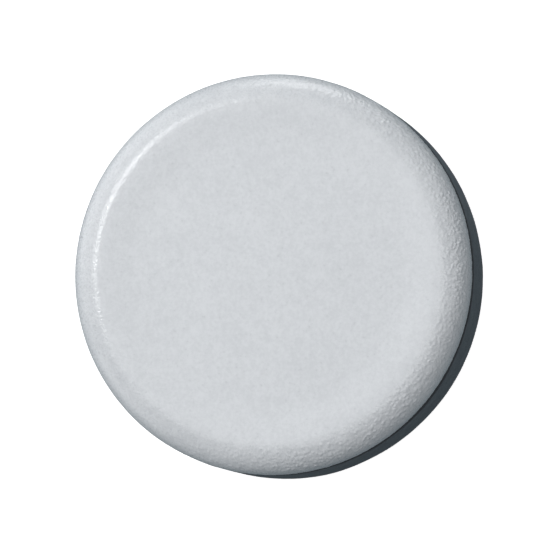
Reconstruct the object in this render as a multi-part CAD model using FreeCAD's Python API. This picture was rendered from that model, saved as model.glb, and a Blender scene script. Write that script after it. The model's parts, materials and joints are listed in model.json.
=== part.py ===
"""Felt polishing wheel, 4 inch: a covered felt pad on a hook-faced cushion with a riveted 5/8-11 hub.

Millimetres. The origin is the centre of the hub's rear seat, and +Z runs along the wheel's axis
towards the polishing face. One STEP file per sub-part is written to parts/.
"""
import FreeCAD, Part
import math
import os

V = FreeCAD.Vector
AXIS = V(0, 0, 1)

# Levels along the axis, from the hub's rear seat to the polishing face.
FLANGE_REAR = 6.5
PLATE_REAR = 9.0
PLATE_FRONT = 14.0
CUSHION_REAR = 9.2
CUSHION_FRONT = 27.5
PAD_REAR = 29.0
PAD_FACE = 39.0

# Pad: skin, felt core and loop fabric.
PAD_RADIUS = 50.8
SHOULDER_RADIUS = 7.6
COVER_THICKNESS = 1.2
PAD_EDGE_RADIUS = 0.8
HEM_WIDTH = 5.0

# Hook-and-loop discs, one on the cushion and one on the pad. The levels leave 0.3 mm between them.
DISC_RADIUS = 49.2
DISC_THICKNESS = 0.6

# Cushion.
CUSHION_RADIUS = 51.0
CUSHION_FRONT_EDGE = 1.0
CUSHION_REAR_EDGE = 1.6
SPINDLE_SPACE_RADIUS = 10.0
CLAMP_POCKET_RADIUS = 25.0
CLAMP_POCKET_DEPTH = 3.5

# Backing plate.
PLATE_RADIUS = 46.0
PLATE_EDGE_CHAMFER = 0.8
PLATE_HOLE_RADIUS = 12.0
POCKET_COUNT = 12
POCKET_INNER_RADIUS = 27.0
POCKET_OUTER_RADIUS = 42.0
POCKET_DEPTH = 2.5
POCKET_CORNER_RADIUS = 1.5
RIB_WIDTH = 3.0

# Hub and clamp plate.
BOSS_RADIUS = 14.0
BOSS_CHAMFER = 1.0
FLANGE_RADIUS = 24.0
FLANGE_CHAMFER = 0.5
SPIGOT_RADIUS = 11.95
SPIGOT_FRONT = 16.5
SPIGOT_CHAMFER = 0.5
WRENCH_FLATS = 24.0
WRENCH_FLAT_HEIGHT = 5.2
THREAD_BORE_RADIUS = 6.8
THREAD_RELIEF_RADIUS = 8.3
THREAD_LEAD_IN = 1.0
CLAMP_THICKNESS = 1.5

# Rivets, through flange, backing plate and clamp plate.
RIVET_COUNT = 6
RIVET_CIRCLE_RADIUS = 19.0
RIVET_HOLE_RADIUS = 2.5
RIVET_SHANK_RADIUS = 2.45
RIVET_HEAD_RADIUS = 3.8
RIVET_DOME_HEIGHT = 1.6
RIVET_TAIL_HEIGHT = 1.2
RIVET_TAIL_CHAMFER = 0.4


def point(radius, z):
    """A point of a half section, in the XZ plane."""
    return V(radius, 0, z)


def arc(centre, radius, start_degrees, end_degrees):
    """A fillet arc of a half section, from one angle to another, measured from +X towards +Z."""
    def at(degrees):
        angle = math.radians(degrees)
        return centre + V(radius * math.cos(angle), 0, radius * math.sin(angle))

    middle = (start_degrees + end_degrees) / 2
    return Part.Arc(at(start_degrees), at(middle), at(end_degrees)).toShape()


def turned(outline):
    """Turn a half section about the wheel's axis. Its items are points and arcs, in order."""
    edges = []
    last = outline[-1]
    end = last if isinstance(last, V) else last.Vertexes[-1].Point
    for item in outline:
        start = item if isinstance(item, V) else item.Vertexes[0].Point
        if end.distanceToPoint(start) > 1e-6:
            edges.append(Part.makeLine(end, start))
        if not isinstance(item, V):
            edges.append(item)
        end = item if isinstance(item, V) else item.Vertexes[-1].Point
    face = Part.Face(Part.Wire(Part.__sortEdges__(edges)))
    solid = face.revolve(V(0, 0, 0), AXIS, 360)
    return Part.makeSolid(solid) if solid.ShapeType == "Shell" else solid


def ring_of(solid, count, radius):
    """Copies of a solid made at the axis, moved out to a circle and spaced evenly round it."""
    copies = []
    for index in range(count):
        copy = solid.copy()
        copy.translate(V(radius, 0, 0))
        copy.rotate(V(0, 0, 0), AXIS, 360 * index / count)
        copies.append(copy)
    return copies


def rivet_holes(z_low, z_high):
    """The drills for the rivets, from just under z_low to just over z_high."""
    drill = Part.makeCylinder(RIVET_HOLE_RADIUS, z_high - z_low + 2, V(0, 0, z_low - 1))
    return Part.makeCompound(ring_of(drill, RIVET_COUNT, RIVET_CIRCLE_RADIUS))


def make_face_cover():
    """The skin over face, shoulder and side, with its hem turned under the felt."""
    shoulder_centre = point(PAD_RADIUS - SHOULDER_RADIUS, PAD_FACE - SHOULDER_RADIUS)
    edge_centre = point(PAD_RADIUS - PAD_EDGE_RADIUS, PAD_REAR + PAD_EDGE_RADIUS)
    hem_radius = PAD_RADIUS - HEM_WIDTH
    return turned([
        point(0, PAD_FACE - COVER_THICKNESS),
        point(0, PAD_FACE),
        arc(shoulder_centre, SHOULDER_RADIUS, 90, 0),
        arc(edge_centre, PAD_EDGE_RADIUS, 0, -90),
        point(hem_radius, PAD_REAR),
        point(hem_radius, PAD_REAR + COVER_THICKNESS),
        point(PAD_RADIUS - COVER_THICKNESS, PAD_REAR + COVER_THICKNESS),
        arc(shoulder_centre, SHOULDER_RADIUS - COVER_THICKNESS, 0, 90),
    ])


def make_felt_core():
    """The felt that fills the skin, flush with the hem at the back."""
    shoulder_centre = point(PAD_RADIUS - SHOULDER_RADIUS, PAD_FACE - SHOULDER_RADIUS)
    hem_radius = PAD_RADIUS - HEM_WIDTH
    return turned([
        point(0, PAD_REAR),
        point(0, PAD_FACE - COVER_THICKNESS),
        arc(shoulder_centre, SHOULDER_RADIUS - COVER_THICKNESS, 90, 0),
        point(PAD_RADIUS - COVER_THICKNESS, PAD_REAR + COVER_THICKNESS),
        point(hem_radius, PAD_REAR + COVER_THICKNESS),
        point(hem_radius, PAD_REAR),
    ])


def make_loop_disc():
    """The loop fabric under the pad."""
    return Part.makeCylinder(DISC_RADIUS, DISC_THICKNESS, V(0, 0, PAD_REAR - DISC_THICKNESS))


def make_hook_disc():
    """The hook fabric on the cushion."""
    return Part.makeCylinder(DISC_RADIUS, DISC_THICKNESS, V(0, 0, CUSHION_FRONT))


def make_cushion():
    """The foam body, moulded round the plate, with a pocket for the clamp plate and spindle space."""
    front_centre = point(CUSHION_RADIUS - CUSHION_FRONT_EDGE, CUSHION_FRONT - CUSHION_FRONT_EDGE)
    rear_centre = point(CUSHION_RADIUS - CUSHION_REAR_EDGE, CUSHION_REAR + CUSHION_REAR_EDGE)
    pocket_front = PLATE_FRONT + CLAMP_POCKET_DEPTH
    return turned([
        point(SPINDLE_SPACE_RADIUS, CUSHION_FRONT),
        arc(front_centre, CUSHION_FRONT_EDGE, 90, 0),
        arc(rear_centre, CUSHION_REAR_EDGE, 0, -90),
        point(PLATE_RADIUS, CUSHION_REAR),
        point(PLATE_RADIUS, PLATE_FRONT),
        point(CLAMP_POCKET_RADIUS, PLATE_FRONT),
        point(CLAMP_POCKET_RADIUS, pocket_front),
        point(SPINDLE_SPACE_RADIUS, pocket_front),
    ])


def make_backing_plate():
    """The ribbed plate: a disc with pockets moulded into its back, a centre hole and rivet holes."""
    plate = turned([
        point(PLATE_HOLE_RADIUS, PLATE_REAR),
        point(PLATE_RADIUS - PLATE_EDGE_CHAMFER, PLATE_REAR),
        point(PLATE_RADIUS, PLATE_REAR + PLATE_EDGE_CHAMFER),
        point(PLATE_RADIUS, PLATE_FRONT),
        point(PLATE_HOLE_RADIUS, PLATE_FRONT),
    ])
    pocket_floor = PLATE_REAR + POCKET_DEPTH
    annulus = Part.makeCylinder(POCKET_OUTER_RADIUS, POCKET_DEPTH + 1, V(0, 0, PLATE_REAR - 1))
    annulus = annulus.cut(Part.makeCylinder(POCKET_INNER_RADIUS, pocket_floor, V(0, 0, 0)))
    for index in range(POCKET_COUNT):
        rib = Part.makeBox(PLATE_RADIUS, RIB_WIDTH, pocket_floor, V(0, -RIB_WIDTH / 2, 0))
        rib.rotate(V(0, 0, 0), AXIS, 360 * (index + 0.5) / POCKET_COUNT)
        annulus = annulus.cut(rib)
    for pocket in annulus.Solids:
        corners = [edge for edge in pocket.Edges if is_upright(edge)]
        plate = plate.cut(pocket.makeFillet(POCKET_CORNER_RADIUS, corners))
    return plate.cut(rivet_holes(PLATE_REAR, PLATE_FRONT))


def is_upright(edge):
    """Whether a straight edge runs along the wheel's axis."""
    start, end = edge.Vertexes[0].Point, edge.Vertexes[-1].Point
    return abs(end.z - start.z) > 0.99 * edge.Length


def make_threaded_hub():
    """The steel hub. Its bore is the thread's minor diameter, with a relief at the seat."""
    relief_depth = THREAD_RELIEF_RADIUS - THREAD_BORE_RADIUS
    hub = turned([
        point(THREAD_BORE_RADIUS, relief_depth),
        point(THREAD_RELIEF_RADIUS, 0),
        point(BOSS_RADIUS - BOSS_CHAMFER, 0),
        point(BOSS_RADIUS, BOSS_CHAMFER),
        point(BOSS_RADIUS, FLANGE_REAR),
        point(FLANGE_RADIUS - FLANGE_CHAMFER, FLANGE_REAR),
        point(FLANGE_RADIUS, FLANGE_REAR + FLANGE_CHAMFER),
        point(FLANGE_RADIUS, PLATE_REAR),
        point(SPIGOT_RADIUS, PLATE_REAR),
        point(SPIGOT_RADIUS, SPIGOT_FRONT - SPIGOT_CHAMFER),
        point(SPIGOT_RADIUS - SPIGOT_CHAMFER, SPIGOT_FRONT),
        point(THREAD_BORE_RADIUS + THREAD_LEAD_IN, SPIGOT_FRONT),
        point(THREAD_BORE_RADIUS, SPIGOT_FRONT - THREAD_LEAD_IN),
    ])
    for side in (1, -1):
        centre_y = side * (WRENCH_FLATS / 2 + BOSS_RADIUS)
        corner = V(-BOSS_RADIUS, centre_y - BOSS_RADIUS, -1)
        hub = hub.cut(Part.makeBox(2 * BOSS_RADIUS, 2 * BOSS_RADIUS, WRENCH_FLAT_HEIGHT + 1, corner))
    return hub.cut(rivet_holes(FLANGE_REAR, PLATE_REAR))


def make_clamp_plate():
    """The steel ring that the rivets pull down on the front of the backing plate."""
    front = PLATE_FRONT + CLAMP_THICKNESS
    ring = turned([
        point(PLATE_HOLE_RADIUS, PLATE_FRONT),
        point(FLANGE_RADIUS, PLATE_FRONT),
        point(FLANGE_RADIUS, front - FLANGE_CHAMFER),
        point(FLANGE_RADIUS - FLANGE_CHAMFER, front),
        point(PLATE_HOLE_RADIUS, front),
    ])
    return ring.cut(rivet_holes(PLATE_FRONT, front))


def make_hub_rivets():
    """Rivets with a domed head at the back and a flat upset tail under the cushion."""
    tail_rear = PLATE_FRONT + CLAMP_THICKNESS
    tail_front = tail_rear + RIVET_TAIL_HEIGHT
    dome_radius = (RIVET_HEAD_RADIUS ** 2 + RIVET_DOME_HEIGHT ** 2) / (2 * RIVET_DOME_HEIGHT)
    dome_centre = point(0, FLANGE_REAR - RIVET_DOME_HEIGHT + dome_radius)
    rim_angle = math.degrees(math.atan2(FLANGE_REAR - dome_centre.z, RIVET_HEAD_RADIUS))
    rivet = turned([
        arc(dome_centre, dome_radius, -90, rim_angle),
        point(RIVET_SHANK_RADIUS, FLANGE_REAR),
        point(RIVET_SHANK_RADIUS, tail_rear),
        point(RIVET_HEAD_RADIUS, tail_rear),
        point(RIVET_HEAD_RADIUS, tail_front - RIVET_TAIL_CHAMFER),
        point(RIVET_HEAD_RADIUS - RIVET_TAIL_CHAMFER, tail_front),
        point(0, tail_front),
    ])
    return Part.makeCompound(ring_of(rivet, RIVET_COUNT, RIVET_CIRCLE_RADIUS))


NODES = {
    "face_cover": make_face_cover,
    "felt_core": make_felt_core,
    "loop_disc": make_loop_disc,
    "hook_disc": make_hook_disc,
    "cushion": make_cushion,
    "backing_plate": make_backing_plate,
    "threaded_hub": make_threaded_hub,
    "clamp_plate": make_clamp_plate,
    "hub_rivets": make_hub_rivets,
}

os.makedirs("parts", exist_ok=True)
for node, make in NODES.items():
    shape = make()
    shape.exportStep("parts/" + node + ".step")
    print(node, "solids", len(shape.Solids), "valid", shape.isValid(), "mm3", round(shape.Volume, 1))
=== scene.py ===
"""Looks for the felt polishing wheel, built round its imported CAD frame.

The frame is in metres, with +Z towards the polishing face. The wheel's sizes in this script are in
millimetres, which MM turns into metres. The stage's sizes are in metres.
"""
import json
import math

import bmesh
import bpy
import numpy as np
from mathutils import Matrix, Vector


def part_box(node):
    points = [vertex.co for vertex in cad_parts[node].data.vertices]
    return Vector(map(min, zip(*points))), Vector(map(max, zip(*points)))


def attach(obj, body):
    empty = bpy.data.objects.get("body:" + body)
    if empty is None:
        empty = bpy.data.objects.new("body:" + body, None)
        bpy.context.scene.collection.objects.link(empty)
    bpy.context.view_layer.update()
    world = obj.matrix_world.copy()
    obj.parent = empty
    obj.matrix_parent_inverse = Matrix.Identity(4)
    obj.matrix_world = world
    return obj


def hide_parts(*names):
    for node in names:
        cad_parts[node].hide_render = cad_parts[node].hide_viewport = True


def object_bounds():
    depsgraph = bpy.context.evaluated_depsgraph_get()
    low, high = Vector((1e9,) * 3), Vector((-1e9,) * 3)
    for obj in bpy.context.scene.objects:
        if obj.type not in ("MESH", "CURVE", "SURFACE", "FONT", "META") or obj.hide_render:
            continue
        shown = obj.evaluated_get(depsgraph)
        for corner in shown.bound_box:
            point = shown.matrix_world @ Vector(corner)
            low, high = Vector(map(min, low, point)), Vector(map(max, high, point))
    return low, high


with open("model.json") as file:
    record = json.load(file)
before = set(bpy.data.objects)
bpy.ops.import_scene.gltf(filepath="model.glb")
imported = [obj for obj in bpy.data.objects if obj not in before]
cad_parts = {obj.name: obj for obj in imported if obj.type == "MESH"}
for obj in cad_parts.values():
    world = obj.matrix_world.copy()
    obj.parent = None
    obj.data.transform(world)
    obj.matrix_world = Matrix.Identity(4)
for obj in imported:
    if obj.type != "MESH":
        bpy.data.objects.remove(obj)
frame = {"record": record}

MM = 0.001
cad_low, cad_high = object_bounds()


# ---------------------------------------------------------------- sizes, read from the CAD frame

def levels(node):
    """A node's outer radius, lowest level and highest level, in millimetres."""
    low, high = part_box(node)
    return high.x / MM, low.z / MM, high.z / MM


PAD_RADIUS, PAD_REAR, PAD_FACE = levels("face_cover")
CORE_RADIUS, CORE_REAR, CORE_FACE = levels("felt_core")
LOOP_RADIUS, LOOP_REAR, LOOP_FRONT = levels("loop_disc")
HOOK_RADIUS, HOOK_REAR = levels("hook_disc")[:2]
CUSHION_RADIUS, CUSHION_REAR, CUSHION_FRONT = levels("cushion")
PLATE_RADIUS, PLATE_REAR, PLATE_FRONT = levels("backing_plate")
FLANGE_RADIUS, HUB_REAR, HUB_FRONT = levels("threaded_hub")
RIVET_REAR, RIVET_FRONT = levels("hub_rivets")[1:]
CLAMP_FRONT = levels("clamp_plate")[2]
BORE = next(m for m in frame["record"]["mounts"] if m["name"] == "spindle_thread")
BORE_RADIUS = BORE["dims"]["r_mm"]

SKIN = PAD_RADIUS - CORE_RADIUS
SHOULDER = 0.15 * PAD_RADIUS
FLAT_RADIUS = PAD_RADIUS - SHOULDER
HEM_RADIUS = PAD_RADIUS - 5.0
FACE_DISH = 0.5


# ---------------------------------------------------------------- outlines, turned meshes and pieces

def rounded(corners, step, closed=True):
    """An outline through (radius, height, fillet) corners in millimetres, with points at most step apart."""
    path = []
    for index, (r, z, fillet) in enumerate(corners):
        here = Vector((r, z))
        if not fillet:
            path.append(here)
            continue
        before = (Vector(corners[index - 1][:2]) - here).normalized()
        after = (Vector(corners[(index + 1) % len(corners)][:2]) - here).normalized()
        half = before.angle(after) / 2
        centre = here + (before + after).normalized() * (fillet / math.sin(half))
        spoke = here + before * (fillet / math.tan(half)) - centre
        turn = math.copysign(math.pi - 2 * half, before.cross(after))
        steps = max(3, math.ceil(fillet * abs(turn) / step))
        for k in range(steps + 1):
            angle = -turn * k / steps
            c, s = math.cos(angle), math.sin(angle)
            path.append(centre + Vector((spoke.x * c - spoke.y * s, spoke.x * s + spoke.y * c)))
    fine = []
    ends = path[1:] + path[:1] if closed else path[1:]
    for start, end in zip(path, ends):
        pieces = max(1, math.ceil((end - start).length / step))
        fine += [start.lerp(end, k / pieces) for k in range(pieces)]
    if not closed:
        fine.append(path[-1])
    return np.array([tuple(p) for p in fine])


def outward(outline, closed):
    """The outline's unit normals, pointing away from the solid."""
    if closed:
        along = np.roll(outline, -1, 0) - np.roll(outline, 1, 0)
    else:
        along = np.gradient(outline, axis=0)
    r, z = outline.T
    area = np.sum(r * np.roll(z, -1) - np.roll(r, -1) * z)
    normal = np.stack([along[:, 1], -along[:, 0]], 1) * np.sign(area)
    return normal / np.maximum(np.linalg.norm(normal, axis=1, keepdims=True), 1e-9)


def mesh_object(name, points_mm, faces, smooth=True):
    """A mesh object from points in millimetres, with its faces turned outward."""
    mesh = bpy.data.meshes.new(name)
    mesh.from_pydata((np.asarray(points_mm) * MM).tolist(), [], faces)
    work = bmesh.new()
    work.from_mesh(mesh)
    bmesh.ops.recalc_face_normals(work, faces=work.faces)
    work.to_mesh(mesh)
    work.free()
    mesh.polygons.foreach_set("use_smooth", [smooth] * len(mesh.polygons))
    made = bpy.data.objects.new(name, mesh)
    bpy.context.scene.collection.objects.link(made)
    return made


def strip(first, count, other, other_count):
    """The faces between two rings of vertices, where one ring may have half as many, or be a pole."""
    if count < other_count:
        first, count, other, other_count = other, other_count, first, count
    if other_count == 1:
        return [(first + k, first + (k + 1) % count, other) for k in range(count)]
    if count == other_count:
        return [
            (first + k, first + (k + 1) % count, other + (k + 1) % count, other + k)
            for k in range(count)
        ]
    faces = []
    for k in range(other_count):
        a, b, c = (first + (2 * k + step) % count for step in range(3))
        d, e = other + k, other + (k + 1) % other_count
        faces += [(a, b, d), (b, e, d), (b, c, e)]
    return faces


def lathe(outline, counts, closed=True, relief=None, shape=None):
    """Points and faces of an outline turned about the axis, with counts vertices in its rings.
    relief moves each point along its normal, and shape may then move points freely."""
    counts = np.broadcast_to(counts, len(outline)).copy()
    counts[outline[:, 0] < 1e-6] = 1
    normals = outward(outline, closed)
    points, directions, starts = [], [], []
    total = 0
    for (r, z), (nr, nz), count in zip(outline, normals, counts):
        angle = np.arange(count) * 2 * math.pi / count
        c, s = np.cos(angle), np.sin(angle)
        points.append(np.stack([r * c, r * s, np.full(count, z)], 1))
        nr = 0 if count == 1 else nr
        directions.append(np.stack([nr * c, nr * s, np.full(count, nz)], 1))
        starts.append(total)
        total += count
    points, directions = np.concatenate(points), np.concatenate(directions)
    if relief is not None:
        points = points + directions * relief(points, directions)[:, None]
    if shape is not None:
        points = shape(points)
    faces = []
    rings = len(outline)
    for k in range(rings if closed else rings - 1):
        j = (k + 1) % rings
        faces += strip(starts[k], int(counts[k]), starts[j], int(counts[j]))
    return points, faces


def merged(parts):
    """Points and faces of several (points, faces) pairs as one pair."""
    points, faces, base = [], [], 0
    for some_points, some_faces in parts:
        points.append(np.asarray(some_points))
        faces += [tuple(base + i for i in face) for face in some_faces]
        base += len(some_points)
    return np.concatenate(points), faces


def finish_piece(made, body, surface, node):
    """Give a piece its material and its body, and hide the CAD node that it stands for."""
    made.data.materials.clear()
    made.data.materials.append(surface)
    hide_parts(node)
    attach(made, body)
    return made


# ---------------------------------------------------------------- surface relief

LATTICE = 64
lattice_points = np.random.default_rng(7).random((LATTICE, LATTICE, LATTICE, 3))


def smooth_step(value, low, high):
    """0 below low and 1 above high, with a smooth rise between them."""
    t = np.clip((value - low) / (high - low), 0, 1)
    return t * t * (3 - 2 * t)


def soft_noise(points, size):
    """Smooth noise from -1 to 1 with lumps of that size."""
    scaled = points / size + 11.3
    whole = np.floor(scaled).astype(int)
    t = scaled - whole
    t = t * t * (3 - 2 * t)
    value = 0
    for corner in np.ndindex(2, 2, 2):
        at = (whole + corner) % LATTICE
        weight = np.prod(np.where(corner, t, 1 - t), axis=1)
        value = value + weight * lattice_points[at[:, 0], at[:, 1], at[:, 2], 0]
    return value * 2 - 1


def pebbles(points, size):
    """Pebble height from 0 in the creases to 1 on the crowns, for cells of that size."""
    scaled = points / size
    whole = np.floor(scaled).astype(int)
    nearest = np.full(len(points), 9.0)
    second = nearest.copy()
    for offset in np.ndindex(3, 3, 3):
        cell = whole + np.array(offset) - 1
        at = cell % LATTICE
        centre = cell + lattice_points[at[:, 0], at[:, 1], at[:, 2]]
        gap = np.linalg.norm(scaled - centre, axis=1)
        second = np.minimum(second, np.maximum(nearest, gap))
        nearest = np.minimum(nearest, gap)
    return smooth_step(second - nearest, 0.0, 0.55)


# ---------------------------------------------------------------- material helpers

def material(name):
    """A new material, its node tree and its Principled shader."""
    made = bpy.data.materials.new(name)
    made.use_nodes = True
    return made, made.node_tree, made.node_tree.nodes["Principled BSDF"]


def add(tree, kind, settings=None, inputs=None):
    """A new shader node with its settings and inputs."""
    node = tree.nodes.new("ShaderNode" + kind)
    for key, value in (settings or {}).items():
        setattr(node, key, value)
    connect(tree, node, inputs or {})
    return node


def connect(tree, node, inputs):
    """Link the inputs that are given a socket, and set those that are given a value."""
    for key, value in inputs.items():
        if isinstance(value, bpy.types.NodeSocket):
            tree.links.new(value, node.inputs[key])
        else:
            node.inputs[key].default_value = value


def place(tree):
    """The surface point in the frame's own axes, in metres."""
    return add(tree, "TexCoord").outputs["Object"]


def noise(tree, where, size_mm, detail=3, rough=0.55, stretch=None):
    """Noise with lumps of that size."""
    if stretch:
        where = add(tree, "Mapping", None, {"Vector": where, "Scale": stretch}).outputs[0]
    inputs = {"Vector": where, "Scale": 1 / (size_mm * MM), "Detail": detail, "Roughness": rough}
    return add(tree, "TexNoise", None, inputs).outputs["Fac"]


def cells(tree, where, size_mm, feature):
    """Distance inside cells of that size, of the Voronoi kind that feature names."""
    inputs = {"Vector": where, "Scale": 1 / (size_mm * MM)}
    return add(tree, "TexVoronoi", {"feature": feature}, inputs).outputs["Distance"]


def span(tree, value, low, high, to_low, to_high):
    """A value mapped smoothly from one range to another, and held at its ends."""
    inputs = {"Value": value, "From Min": low, "From Max": high, "To Min": to_low, "To Max": to_high}
    return add(tree, "MapRange", {"interpolation_type": "SMOOTHSTEP"}, inputs).outputs["Result"]


def maths(tree, operation, first, second):
    """The result of an operation on two sockets or numbers."""
    node = add(tree, "Math", {"operation": operation})
    connect(tree, node, {0: first, 1: second})
    return node.outputs[0]


def blend_colours(tree, factor, first, second):
    """The first colour at a factor of 0, the second at 1, and a mix between them."""
    # The Mix node's colour sockets share their names with its other kinds, so they go by number.
    node = add(tree, "Mix", {"data_type": "RGBA"}, {0: factor, 6: first, 7: second})
    return node.outputs[2]


def bump(tree, height, depth_mm, normal=None):
    """A normal from a height of 0 to 1 that stands for that depth."""
    inputs = {"Height": height, "Distance": depth_mm * MM, "Strength": 1.0}
    if normal is not None:
        inputs["Normal"] = normal
    return add(tree, "Bump", None, inputs).outputs["Normal"]


def radius_of(tree, where):
    """Distance from the wheel's axis, in metres."""
    flat = add(tree, "VectorMath", {"operation": "MULTIPLY"}, {0: where, 1: (1, 1, 0)}).outputs[0]
    return add(tree, "VectorMath", {"operation": "LENGTH"}, {0: flat}).outputs["Value"]


def colour(r, g, b):
    """A full colour from its linear red, green and blue."""
    return (r, g, b, 1.0)


# ---------------------------------------------------------------- materials

def skin_material():
    """Satin, cool grey skin: pebbled grain, strongest on the shoulder, and a duller, faintly mottled face."""
    made, tree, shader = material("pad_skin")
    where = place(tree)
    radius = radius_of(tree, where)
    shoulder = span(tree, radius, (FLAT_RADIUS - 3) * MM, (PAD_RADIUS - 4) * MM, 0.3, 1.0)
    warp_inputs = {"Vector": where, "Scale": 1 / (1.25 * MM), "Detail": 1.0}
    warp = add(tree, "TexNoise", None, warp_inputs).outputs["Color"]
    warp_reach = (0.8 * MM, 0.8 * MM, 0.8 * MM)
    warped_inputs = {0: warp, 1: warp_reach, 2: where}
    warped = add(tree, "VectorMath", {"operation": "MULTIPLY_ADD"}, warped_inputs).outputs[0]
    crown = span(tree, cells(tree, warped, 1.15, "DISTANCE_TO_EDGE"), 0.0, 0.35, 0.0, 1.0)
    fine = noise(tree, where, 0.6, 2)
    swell = noise(tree, where, 2.6, 2)
    cloud = noise(tree, where, 11, 3)
    mottle = noise(tree, where, 0.9, 3, 0.7)
    tone = maths(tree, "ADD", maths(tree, "MULTIPLY", swell, 0.25), maths(tree, "MULTIPLY", cloud, 0.2))
    tone = maths(tree, "ADD", tone, maths(tree, "MULTIPLY", mottle, 0.55))
    base = blend_colours(
        tree, span(tree, tone, 0.36, 0.64, 0.0, 1.0),
        colour(0.510, 0.532, 0.555), colour(0.570, 0.592, 0.614),
    )
    specks = span(tree, noise(tree, where, 0.9, 1), 0.22, 0.30, 1.0, 0.0)
    base = blend_colours(tree, maths(tree, "MULTIPLY", specks, 0.4), base, colour(0.44, 0.46, 0.48))
    buffed = span(tree, radius, (FLAT_RADIUS - 4) * MM, (FLAT_RADIUS + 1.5) * MM, 0.16, 0.0)
    rough = maths(tree, "ADD", span(tree, fine, 0.3, 0.7, 0.26, 0.32), buffed)
    height = maths(tree, "ADD", maths(tree, "MULTIPLY", crown, 0.75), maths(tree, "MULTIPLY", fine, 0.25))
    grained = bump(tree, maths(tree, "MULTIPLY", height, shoulder), 0.045)
    connect(tree, shader, {
        "Base Color": base,
        "Roughness": rough,
        "Normal": bump(tree, swell, 0.05, grained),
        "Specular IOR Level": 0.5,
    })
    return made


def felt_material():
    """Pressed wool felt: matted fibres, off-white, very rough."""
    made, tree, shader = material("felt")
    where = place(tree)
    fibres = noise(tree, where, 0.7, 6, 0.7, (1.0, 3.5, 2.0))
    crossing = noise(tree, where, 0.6, 6, 0.7, (3.5, 1.0, 2.0))
    mat = maths(tree, "MAXIMUM", fibres, crossing)
    base = blend_colours(
        tree, span(tree, mat, 0.4, 0.75, 0.0, 1.0), colour(0.56, 0.53, 0.46), colour(0.76, 0.73, 0.66)
    )
    connect(tree, shader, {
        "Base Color": base,
        "Roughness": span(tree, mat, 0.3, 0.8, 0.98, 0.85),
        "Normal": bump(tree, mat, 0.35),
        "Sheen Weight": 0.4,
        "Sheen Roughness": 0.5,
    })
    return made


def loop_material():
    """Brushed nylon loops, dark grey."""
    made, tree, shader = material("loop_fabric")
    where = place(tree)
    yarn = noise(tree, where, 0.5, 5, 0.7)
    base = blend_colours(
        tree, span(tree, yarn, 0.35, 0.7, 0.0, 1.0), colour(0.030, 0.032, 0.036), colour(0.085, 0.090, 0.098)
    )
    connect(tree, shader, {
        "Base Color": base,
        "Roughness": span(tree, yarn, 0.3, 0.7, 0.75, 0.6),
        "Normal": bump(tree, yarn, 0.15),
        "Sheen Weight": 0.25,
    })
    return made


def hook_material():
    """Moulded nylon hooks, black with a slight shine."""
    made, tree, shader = material("hook_fabric")
    where = place(tree)
    mould = noise(tree, where, 0.8, 4)
    base = blend_colours(
        tree, span(tree, mould, 0.35, 0.7, 0.0, 1.0), colour(0.012, 0.012, 0.014), colour(0.035, 0.036, 0.04)
    )
    connect(tree, shader, {
        "Base Color": base,
        "Roughness": span(tree, mould, 0.3, 0.7, 0.5, 0.36),
        "Normal": bump(tree, mould, 0.03),
    })
    return made


def foam_material():
    """Charcoal closed-cell foam: a moulded skin with closed pores, their hollows darkened as painted shade,
    and a painted shadow along its front edge, under the pad.
    """
    made, tree, shader = material("foam")
    where = place(tree)
    pores = cells(tree, where, 0.55, "SMOOTH_F1")
    cloud = noise(tree, where, 3.5, 5)
    fine = noise(tree, where, 0.4, 3)
    base = blend_colours(
        tree, span(tree, cloud, 0.35, 0.65, 0.0, 1.0),
        colour(0.119, 0.135, 0.151), colour(0.137, 0.156, 0.172),
    )
    # Painted shade: the pores' hollows, where the bump sinks the surface, are darkened.
    painted_pore_shade = span(tree, pores, 0.12, 0.4, 0.5, 0.0)
    base = blend_colours(tree, painted_pore_shade, base, colour(0.058, 0.067, 0.078))
    level = add(tree, "SeparateXYZ", None, {0: where}).outputs["Z"]
    # Painted shadow: a dark band just below the foam's front edge stands for the shade under the pad's rim.
    painted_seam_shade = span(tree, level, (CUSHION_FRONT - 1.0) * MM, (CUSHION_FRONT - 0.4) * MM, 0.0, 0.7)
    base = blend_colours(tree, painted_seam_shade, base, colour(0.012, 0.013, 0.015))
    height = maths(tree, "ADD", maths(tree, "MULTIPLY", pores, 0.8), maths(tree, "MULTIPLY", fine, 0.35))
    connect(tree, shader, {
        "Base Color": base,
        "Roughness": span(tree, fine, 0.3, 0.7, 0.66, 0.82),
        "Normal": bump(tree, height, 0.05),
        "Specular IOR Level": 0.2,
    })
    return made


def plate_material():
    """Black glass-filled nylon: fine spark-eroded texture, scratched where it is handled."""
    made, tree, shader = material("moulded_plate")
    where = place(tree)
    texture = noise(tree, where, 0.35, 2)
    flow = noise(tree, where, 9, 5, 0.6, (1, 2.5, 1))
    scratches = span(tree, noise(tree, where, 1.6, 8, 0.75, (0.12, 5, 1)), 0.66, 0.72, 0.0, 1.0)
    base = blend_colours(
        tree, span(tree, flow, 0.35, 0.65, 0.0, 1.0), colour(0.016, 0.016, 0.018), colour(0.03, 0.03, 0.033)
    )
    base = blend_colours(tree, maths(tree, "MULTIPLY", scratches, 0.35), base, colour(0.11, 0.11, 0.115))
    connect(tree, shader, {
        "Base Color": base,
        "Roughness": span(tree, texture, 0.3, 0.7, 0.42, 0.6),
        "Normal": bump(tree, texture, 0.02),
    })
    return made


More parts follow.
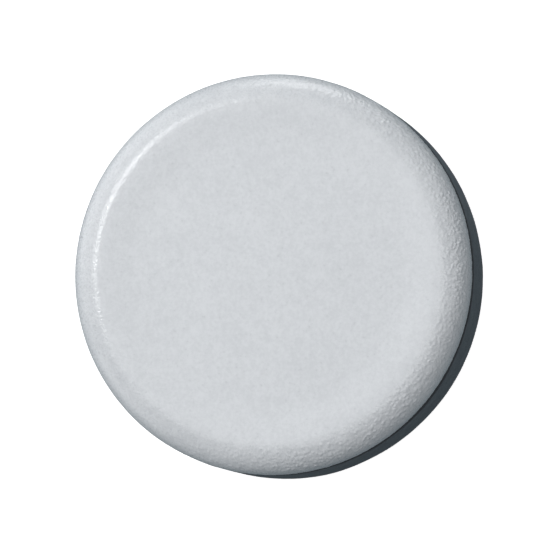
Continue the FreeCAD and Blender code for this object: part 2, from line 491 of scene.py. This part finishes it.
def steel_material(name, tint, ring_size_mm):
    """Zinc-plated steel with turning marks round the axis, faint stains and worn highlights."""
    made, tree, shader = material(name)
    where = place(tree)
    radius = radius_of(tree, where)
    height = add(tree, "SeparateXYZ", None, {0: where}).outputs["Z"]
    turning = add(tree, "CombineXYZ", None, {"X": radius, "Y": height}).outputs[0]
    marks = noise(tree, turning, ring_size_mm, 3, 0.6)
    stain = noise(tree, where, 3.5, 5)
    dull = tuple(0.72 * c for c in tint)
    base = blend_colours(tree, span(tree, stain, 0.4, 0.7, 0.0, 0.8), colour(*tint), colour(*dull))
    rough = maths(tree, "ADD", span(tree, stain, 0.35, 0.7, 0.22, 0.38), maths(tree, "MULTIPLY", marks, 0.12))
    connect(tree, shader, {
        "Base Color": base,
        "Metallic": 1.0,
        "Roughness": rough,
        "Normal": bump(tree, marks, 0.008),
    })
    return made


# ---------------------------------------------------------------- the pad

PEBBLE_SIZE = 1.03
GRAIN_DEPTH = 0.035
WIDE_GRAIN_DEPTH, WIDE_GRAIN_SIDE = 0.175, math.radians(-25)
NARROW_GRAIN_DEPTH, NARROW_GRAIN_SIDE = 0.055, math.radians(50)
SKIN_INSET = 0.045


def grain_depth(side):
    """How deep the skin's grain is: shallow all round, with a wide and a narrow stretch that add to it."""
    wide = smooth_step(np.cos(side - WIDE_GRAIN_SIDE), -0.45, 0.7)
    narrow = smooth_step(np.cos(side - NARROW_GRAIN_SIDE), 0.6, 0.95)
    return GRAIN_DEPTH + WIDE_GRAIN_DEPTH * wide + NARROW_GRAIN_DEPTH * narrow


def skin_relief(points, normals):
    """Pebbled grain on the shoulder and a slightly dished, uneven face, on the skin's outer side only."""
    radius, level = np.hypot(points[:, 0], points[:, 1]), points[:, 2]
    side = np.arctan2(points[:, 1], points[:, 0])
    on_side = radius > PAD_RADIUS - SKIN * 1.5
    on_top = (normals[:, 2] > 0.05) & (level > PAD_FACE - SHOULDER - SKIN * 0.5)
    outer = (on_side | on_top) & (level > PAD_REAR + 0.1)
    fade = smooth_step(radius, FLAT_RADIUS - 0.5, FLAT_RADIUS + 4.0)
    fade = fade * (0.45 + 0.55 * smooth_step(level, PAD_FACE - SHOULDER, PAD_FACE - 0.5 * SHOULDER))
    # Taking 0.26 off leaves about as much of the grain below the surface as above it.
    grain = 0.8 * pebbles(points + 0.4 * soft_noise(points, 1.1)[:, None], PEBBLE_SIZE)
    grain = grain + 0.1 * soft_noise(points, 0.75) - 0.26
    patches = 0.95 + 0.25 * soft_noise(points, 6.0)
    slow = soft_noise(points, 9.0) * 0.03 + soft_noise(points, 2.4) * 0.014
    dish = FACE_DISH * (1 - smooth_step(radius, 0.65 * PAD_RADIUS, FLAT_RADIUS))
    return outer * (grain_depth(side) * fade * patches * grain + slow - dish - SKIN_INSET)


def make_skin():
    """The drawn skin: face, round shoulder, side, turned edge and hem, with its inner side.
    The mesh is finest on the shoulder, where the grain is, and thins out towards the axis and inside."""
    fine_radius = FLAT_RADIUS - 1.5
    fine_rear = PAD_REAR + 1.0
    shoulder_rings = rounded([
        (fine_radius, PAD_FACE, 0),
        (PAD_RADIUS, PAD_FACE, SHOULDER),
        (PAD_RADIUS, fine_rear, 0),
    ], 0.26, closed=False)
    turned_edge = rounded([
        (PAD_RADIUS, fine_rear, 0),
        (PAD_RADIUS, PAD_REAR, 0.9),
        (HEM_RADIUS, PAD_REAR, 0),
    ], 0.6, closed=False)[1:]
    inner = rounded([
        (HEM_RADIUS, PAD_REAR, 0),
        (HEM_RADIUS, PAD_REAR + SKIN, 0.2),
        (PAD_RADIUS - SKIN, PAD_REAR + SKIN, 0.3),
        (PAD_RADIUS - SKIN, PAD_FACE - SKIN, SHOULDER - SKIN),
        (0, PAD_FACE - SKIN, 0),
    ], 1.6, closed=False)[1:]
    face_radii = np.arange(0, fine_radius - 0.1, 1.2)
    face = np.stack([face_radii, np.full(len(face_radii), PAD_FACE)], 1)
    outline = np.concatenate([face, shoulder_rings, turned_edge, inner])
    full = 1216
    counts = np.concatenate([
        [full // 2 ** min(4, int(math.log2(PAD_RADIUS / max(r, 1.0))) + 1) for r in face_radii],
        np.full(len(shoulder_rings), full),
        np.full(len(turned_edge), full // 2),
        np.full(1, full // 4),
        np.full(len(inner) - 1, full // 8),
    ])
    points, faces = lathe(outline, counts, closed=False, relief=skin_relief)
    made = mesh_object("pad_skin", points, faces)
    return finish_piece(made, "pad", skin_material(), "face_cover")


def felt_relief(points, normals):
    """Matted, slightly lumpy felt that stays inside the skin."""
    return soft_noise(points, 1.3) * 0.05 + soft_noise(points, 4.0) * 0.04 - 0.1


def make_felt():
    """The pressed felt that fills the skin."""
    outline = rounded([
        (0, CORE_REAR, 0),
        (HEM_RADIUS, CORE_REAR, 0.3),
        (HEM_RADIUS, CORE_REAR + SKIN, 0.2),
        (CORE_RADIUS, CORE_REAR + SKIN, 0.4),
        (CORE_RADIUS, CORE_FACE, SHOULDER - SKIN),
        (0, CORE_FACE, 0),
    ], 0.8, closed=False)
    points, faces = lathe(outline, 320, closed=False, relief=felt_relief)
    made = mesh_object("pad_felt", points, faces)
    return finish_piece(made, "pad", felt_material(), "felt_core")


# ---------------------------------------------------------------- hook and loop

LOOP_SPACING = 1.5
LOOP_HEIGHT = 0.42
HOOK_SPACING = 1.7
ROW_RATIO = 0.87


def tube(path, thickness, sides):
    """Points and faces of a closed tube along a path, in millimetres."""
    path = np.asarray(path, float)
    along = np.gradient(path, axis=0)
    along /= np.linalg.norm(along, axis=1, keepdims=True)
    side = np.cross(along, (0, 1, 0))
    side /= np.linalg.norm(side, axis=1, keepdims=True)
    other = np.cross(along, side)
    angle = np.arange(sides) * 2 * math.pi / sides
    rings = path[:, None] + thickness / 2 * (
        side[:, None] * np.cos(angle)[None, :, None] + other[:, None] * np.sin(angle)[None, :, None]
    )
    faces = []
    for k in range(len(path) - 1):
        faces += strip(k * sides, sides, (k + 1) * sides, sides)
    last = (len(path) - 1) * sides
    faces += [tuple(range(sides)), tuple(last + k for k in range(sides))]
    return rings.reshape(-1, 3), faces


def spread(shape, spots, turns, sizes):
    """Copies of a shape at spots, each turned about the axis and scaled."""
    points, faces = shape
    copies = []
    for spot, turn, size in zip(spots, turns, sizes):
        c, s = math.cos(turn), math.sin(turn)
        spin = np.array([[c, s, 0], [-s, c, 0], [0, 0, 1]])
        copies.append(((points * size) @ spin + spot, faces))
    return merged(copies)


def grid_spots(radius, spacing, jitter, level, seed):
    """Spots on a staggered grid inside a circle, each moved a little, and the source of further draws."""
    random = np.random.default_rng(seed)
    rows = np.arange(-radius, radius, spacing * ROW_RATIO)
    spots = []
    for index, y in enumerate(rows):
        for x in np.arange(-radius, radius, spacing) + spacing / 2 * (index % 2):
            moved = np.array([x, y]) + jitter * (random.random(2) - 0.5)
            if np.hypot(*moved) < radius:
                spots.append((*moved, level))
    return np.array(spots), random


def sheet_disc(radius, low, high, relief, count, step):
    """A thin disc with rounded edges, of count points round and step apart across."""
    edge = 0.3 * (high - low)
    corners = [(0, low, 0), (radius, low, edge), (radius, high, edge), (0, high, 0)]
    return lathe(rounded(corners, step, closed=False), count, closed=False, relief=relief)


def make_loops():
    """Loop fabric: a knitted ground with small loops that stand down towards the hooks."""
    ground = sheet_disc(
        LOOP_RADIUS, LOOP_REAR + 0.2, LOOP_FRONT,
        lambda points, normals: soft_noise(points, 1.6) * 0.04 - 0.04, count=320, step=1.2,
    )
    angle = np.linspace(0, math.pi, 7)
    arch = np.stack([LOOP_HEIGHT * np.cos(angle), 0 * angle, -LOOP_HEIGHT * np.sin(angle)], 1)
    loop = tube(arch, thickness=0.13, sides=3)
    spots, random = grid_spots(LOOP_RADIUS - 1.0, LOOP_SPACING, jitter=0.8, level=LOOP_REAR + 0.24, seed=11)
    turns = random.random(len(spots)) * math.pi
    sizes = 0.7 + 0.45 * random.random(len(spots))
    points, faces = merged([ground, spread(loop, spots, turns, sizes)])
    made = mesh_object("pad_loops", points, faces)
    return finish_piece(made, "pad", loop_material(), "loop_disc")


def make_hooks():
    """Hook fabric: a moulded sheet with rows of small hooks that stand up towards the loops."""
    ground = sheet_disc(
        HOOK_RADIUS, HOOK_REAR, HOOK_REAR + 0.3,
        lambda points, normals: soft_noise(points, 2.0) * 0.01, count=256, step=2.0,
    )
    lean = np.array([0, 0.0, 0.02, 0.1, 0.24, 0.36, 0.38])
    rise = np.array([0, 0.22, 0.40, 0.52, 0.54, 0.46, 0.38])
    hook = tube(np.stack([lean, 0 * lean, rise - 0.02], 1), thickness=0.2, sides=4)
    spots, random = grid_spots(HOOK_RADIUS - 1.0, HOOK_SPACING, jitter=0.0, level=HOOK_REAR + 0.28, seed=12)
    row = np.round((spots[:, 1] + HOOK_RADIUS) / (HOOK_SPACING * ROW_RATIO)).astype(int)
    turns = math.pi * (row % 2) + 0.15 * (random.random(len(spots)) - 0.5)
    points, faces = merged([ground, spread(hook, spots, turns, np.ones(len(spots)))])
    made = mesh_object("cushion_hooks", points, faces, smooth=False)
    return finish_piece(made, "backing", hook_material(), "hook_disc")


# ---------------------------------------------------------------- the backing

CLAMP_POCKET_RADIUS = FLANGE_RADIUS + 1.0
CLAMP_POCKET_FRONT = RIVET_FRONT + 0.8
SPINDLE_SPACE_RADIUS = 10.0
PLATE_HOLE_RADIUS = 12.0
POCKETS = 12
POCKET_INNER_RADIUS = 27.0
POCKET_OUTER_RADIUS = 42.0
POCKET_DEPTH = 2.5
RIB_WIDTH = 3.0
RIVET_COUNT = 6
RIVET_CIRCLE = 19.0
RIVET_HOLE_RADIUS = 2.5
RIVET_SHANK_RADIUS = 2.45
RIVET_HEAD_RADIUS = 3.8
FLANGE_REAR = PLATE_REAR - 2.5
BOSS_RADIUS = 14.0
SPIGOT_RADIUS = 11.9
WRENCH_FLATS = 24.0
WRENCH_FLATS_FRONT = FLANGE_REAR - 1.25
THREAD_PITCH = 25.4 / 11
THREAD_DEPTH = 1.12


def foam_relief(points, normals):
    """Slight unevenness and dimples of the foam's moulded skin."""
    dimples = pebbles(points, 1.4) - 1
    return soft_noise(points, 15.0) * 0.14 + soft_noise(points, 4.0) * 0.04 + 0.02 * dimples - 0.15


def make_cushion():
    """The foam body round the plate."""
    outline = rounded([
        (SPINDLE_SPACE_RADIUS, CUSHION_FRONT, 0.4),
        (CUSHION_RADIUS, CUSHION_FRONT, 1.0),
        (CUSHION_RADIUS, CUSHION_REAR, 1.6),
        (PLATE_RADIUS, CUSHION_REAR, 0.4),
        (PLATE_RADIUS, PLATE_FRONT, 0),
        (CLAMP_POCKET_RADIUS, PLATE_FRONT, 0),
        (CLAMP_POCKET_RADIUS, CLAMP_POCKET_FRONT, 0.8),
        (SPINDLE_SPACE_RADIUS, CLAMP_POCKET_FRONT, 0.4),
    ], 0.7)
    points, faces = lathe(outline, 544, relief=foam_relief)
    made = mesh_object("foam_cushion", points, faces)
    return finish_piece(made, "backing", foam_material(), "cushion")


def drilled(made):
    """Cut the rivet holes through a piece."""
    low, high = HUB_REAR - 1, HUB_FRONT + 4
    outline = np.array([(0, low), (RIVET_HOLE_RADIUS, low), (RIVET_HOLE_RADIUS, high), (0, high)])
    points, faces = lathe(outline, 32, closed=False)
    drills = []
    for index in range(RIVET_COUNT):
        angle = 2 * math.pi * index / RIVET_COUNT
        drills.append((points + (RIVET_CIRCLE * math.cos(angle), RIVET_CIRCLE * math.sin(angle), 0), faces))
    cutter = mesh_object("drills", *merged(drills))
    cut = made.modifiers.new("holes", "BOOLEAN")
    cut.object = cutter
    cut.operation = "DIFFERENCE"
    cut.solver = "EXACT"
    bpy.context.view_layer.update()
    holed = bpy.data.meshes.new_from_object(made.evaluated_get(bpy.context.evaluated_depsgraph_get()))
    made.modifiers.clear()
    made.data = holed
    bpy.data.objects.remove(cutter)
    return made


def plate_shape(points):
    """Sink the pockets between the ribs into the plate's back, with sloped, rounded walls."""
    r, angle = np.hypot(points[:, 0], points[:, 1]), np.arctan2(points[:, 1], points[:, 0])
    sector = 2 * math.pi / POCKETS
    across = r * np.abs((angle / sector + 0.5) % 1 - 0.5) * sector
    from_rib = r * sector / 2 - across - RIB_WIDTH / 2
    from_wall = np.minimum(np.minimum(r - POCKET_INNER_RADIUS, POCKET_OUTER_RADIUS - r), from_rib)
    sunk = POCKET_DEPTH * smooth_step(from_wall, -0.2, 1.0)
    rear = points[:, 2] < PLATE_REAR + 0.05
    points = points.copy()
    points[:, 2] += np.where(rear, sunk, 0)
    return points


def make_plate():
    """The moulded plate with its ribs, let into the foam."""
    outline = rounded([
        (PLATE_HOLE_RADIUS, PLATE_REAR, 0.3),
        (PLATE_RADIUS, PLATE_REAR, 0.9),
        (PLATE_RADIUS, PLATE_FRONT, 0.2),
        (PLATE_HOLE_RADIUS, PLATE_FRONT, 0.3),
    ], 0.4)
    points, faces = lathe(outline, 480, shape=plate_shape)
    made = drilled(mesh_object("ribbed_plate", points, faces))
    return finish_piece(made, "backing", plate_material(), "backing_plate")


def hub_shape(points):
    """Cut the helical thread into the bore and the two wrench flats into the boss."""
    x, y, z = points.T
    r, angle = np.hypot(x, y), np.arctan2(y, x)
    turn = (z / THREAD_PITCH - angle / (2 * math.pi)) % 1
    groove = np.clip(1.15 - 2.3 * np.abs(turn - 0.5), 0, 1)
    run_in = smooth_step(z, HUB_REAR + 0.8, HUB_REAR + 2.2)
    run_out = smooth_step(-z, 0.7 - HUB_FRONT, 1.8 - HUB_FRONT)
    bored = r < BORE_RADIUS + 0.02
    wider = np.where(bored, THREAD_DEPTH * groove * (run_in * run_out), 0)
    points = points * np.stack([1 + wider / r, 1 + wider / r, np.ones(len(r))], 1)
    on_boss = (r > BORE_RADIUS + 3) & (z < WRENCH_FLATS_FRONT)
    cut_off = np.clip(points[:, 1], -WRENCH_FLATS / 2, WRENCH_FLATS / 2)
    points[:, 1] = np.where(on_boss, cut_off, points[:, 1])
    return points


def make_hub():
    """The steel hub: seat, boss with wrench flats, riveted flange, spigot and thread."""
    lead_in = 1.5
    outline = rounded([
        (BORE_RADIUS, HUB_REAR + lead_in, 0),
        (BORE_RADIUS + lead_in, HUB_REAR, 0.15),
        (BOSS_RADIUS, HUB_REAR, 0.8),
        (BOSS_RADIUS, FLANGE_REAR, 0.5),
        (FLANGE_RADIUS, FLANGE_REAR, 0.4),
        (FLANGE_RADIUS, PLATE_REAR, 0.15),
        (SPIGOT_RADIUS, PLATE_REAR, 0.15),
        (SPIGOT_RADIUS, HUB_FRONT, 0.4),
        (BORE_RADIUS + 1.0, HUB_FRONT, 0.15),
        (BORE_RADIUS, HUB_FRONT - 1.0, 0),
    ], 0.18)
    points, faces = lathe(outline, 256, shape=hub_shape)
    made = drilled(mesh_object("steel_hub", points, faces))
    steel = steel_material("hub_steel", (0.56, 0.56, 0.57), 0.25)
    return finish_piece(made, "backing", steel, "threaded_hub")


def make_clamp():
    """The steel ring under the foam."""
    outline = rounded([
        (PLATE_HOLE_RADIUS, PLATE_FRONT, 0.1),
        (FLANGE_RADIUS, PLATE_FRONT, 0.1),
        (FLANGE_RADIUS, CLAMP_FRONT, 0.4),
        (PLATE_HOLE_RADIUS, CLAMP_FRONT, 0.3),
    ], 0.8)
    points, faces = lathe(outline, 192)
    made = drilled(mesh_object("clamp_ring", points, faces))
    steel = steel_material("plate_steel", (0.50, 0.50, 0.51), 0.4)
    return finish_piece(made, "backing", steel, "clamp_plate")


def make_rivets():
    """Six rivets: domed heads at the back, with a small set mark, and upset tails at the front."""
    outline = rounded([
        (0, RIVET_REAR + 0.12, 0),
        (0.9, RIVET_REAR + 0.12, 0.3),
        (1.25, RIVET_REAR - 0.02, 0.25),
        (3.0, RIVET_REAR + 0.45, 1.6),
        (RIVET_HEAD_RADIUS, FLANGE_REAR, 0.12),
        (RIVET_SHANK_RADIUS, FLANGE_REAR, 0),
        (RIVET_SHANK_RADIUS, CLAMP_FRONT, 0),
        (RIVET_HEAD_RADIUS, CLAMP_FRONT, 0.3),
        (RIVET_HEAD_RADIUS, RIVET_FRONT, 0.35),
        (0, RIVET_FRONT, 0),
    ], 0.25, closed=False)
    rivet = lathe(outline, 64, closed=False)
    angle = 2 * math.pi * np.arange(RIVET_COUNT) / RIVET_COUNT
    spots = np.stack([RIVET_CIRCLE * np.cos(angle), RIVET_CIRCLE * np.sin(angle), 0 * angle], 1)
    made = mesh_object("rivets", *spread(rivet, spots, angle * 1.7, np.ones(RIVET_COUNT)))
    steel = steel_material("rivet_steel", (0.53, 0.53, 0.54), 0.5)
    return finish_piece(made, "backing", steel, "hub_rivets")


# ---------------------------------------------------------------- stage

VIEW_TILT = math.radians(11.0)
VIEW_SIDE = math.radians(-24.0)
CAMERA_DISTANCE = 1.5
FLOOR_HALF_WIDTH = 60.0

# Shares of the frame's width: the pad's diameter, and how far the camera aims to the right of it and above.
PAD_IN_FRAME = 0.72143
AIM_RIGHT, AIM_UP = 0.0231, -0.0150


def direction(tilt, side):
    """The unit vector tilted from the wheel's axis towards a side, measured from +X to +Y."""
    return Vector((math.sin(tilt) * math.cos(side), math.sin(tilt) * math.sin(side), math.cos(tilt)))


def make_camera():
    """A long lens that looks down on the face from a little to one side of the axis."""
    back = direction(VIEW_TILT, VIEW_SIDE)
    turn = Vector((0, 0, 1)).rotation_difference(back)
    frame_width = 2 * PAD_RADIUS * MM / PAD_IN_FRAME
    aim = Vector((0, 0, PAD_FACE * MM))
    aim += turn @ Vector((AIM_RIGHT * frame_width, AIM_UP * frame_width, 0))
    data = bpy.data.cameras.new("camera")
    data.sensor_width = 36.0
    data.lens = data.sensor_width * CAMERA_DISTANCE / frame_width
    data.clip_start = 0.01
    data.clip_end = 200
    camera = bpy.data.objects.new("camera", data)
    camera.rotation_mode = "QUATERNION"
    camera.rotation_quaternion = turn
    camera.location = aim + back * CAMERA_DISTANCE
    bpy.context.scene.collection.objects.link(camera)
    bpy.context.scene.camera = camera


def make_light(name, tilt, side, distance, across, along, power):
    """A soft light that faces the pad. across is its size round the wheel's axis and along its other one."""
    data = bpy.data.lights.new(name, "AREA")
    data.shape = "RECTANGLE"
    data.size = across
    data.size_y = along
    data.energy = power
    light = bpy.data.objects.new(name, data)
    tilt, side = math.radians(tilt), math.radians(side)
    towards = direction(tilt, side)
    round_axis = Vector((-math.sin(side), math.cos(side), 0))
    facing = Matrix((round_axis, towards.cross(round_axis), towards)).transposed()
    light.location = Vector((0, 0, PAD_FACE * MM)) + towards * distance
    light.rotation_mode = "QUATERNION"
    light.rotation_quaternion = facing.to_quaternion()
    bpy.context.scene.collection.objects.link(light)


def make_world(above, below):
    """Soft surroundings, of one colour above and a cooler one below."""
    world = bpy.data.worlds.new("studio")
    bpy.context.scene.world = world
    world.use_nodes = True
    tree = world.node_tree
    heading = add(tree, "TexCoord").outputs["Generated"]
    up = add(tree, "SeparateXYZ", None, {0: heading}).outputs["Z"]
    height = span(tree, up, -0.3, 0.3, 0.0, 1.0)
    connect(tree, tree.nodes["Background"], {"Color": blend_colours(tree, height, below, above)})


def make_floor():
    """A plain, near-white floor that the hub stands on. It is kept out of the light on the wheel."""
    reach, level = FLOOR_HALF_WIDTH / MM, cad_low.z / MM
    corners = [(-reach, -reach, level), (reach, -reach, level), (reach, reach, level), (-reach, reach, level)]
    floor = mesh_object("floor", corners, [(0, 1, 2, 3)])
    made, tree, shader = material("floor")
    cloud = noise(tree, place(tree), 300, 2)
    connect(tree, shader, {
        "Base Color": blend_colours(tree, cloud, colour(0.80, 0.80, 0.80), colour(0.83, 0.83, 0.83)),
        "Roughness": 0.9,
        "Emission Color": colour(1, 1, 1),
        "Emission Strength": 0.75,
    })
    floor.data.materials.append(made)
    floor.visible_diffuse = False
    floor.visible_glossy = False


make_camera()
make_world(above=colour(0.188, 0.188, 0.193), below=colour(0.160, 0.209, 0.235))
make_light("key", tilt=31.5, side=153, distance=1.2, across=0.35, along=0.23, power=6.0)
make_light("ceiling", tilt=20, side=145, distance=1.9, across=1.8, along=1.8, power=6.4)
make_light("overhead", tilt=15, side=-30, distance=1.9, across=1.2, along=1.2, power=10.1)
make_light("right", tilt=60, side=12, distance=1.2, across=0.6, along=0.6, power=1.3)
make_light("rear", tilt=84, side=90, distance=1.2, across=0.6, along=0.6, power=5.3)
make_light("left", tilt=84, side=155, distance=1.2, across=1.2, along=1.2, power=6.4)
make_light("front", tilt=84, side=-150, distance=1.2, across=0.6, along=0.6, power=2.0)
make_floor()

skin = make_skin()
felt = make_felt()
make_loops()
make_hooks()
cushion = make_cushion()
make_plate()
make_hub()
make_clamp()
make_rivets()

bpy.context.scene.view_settings.view_transform = "Standard"
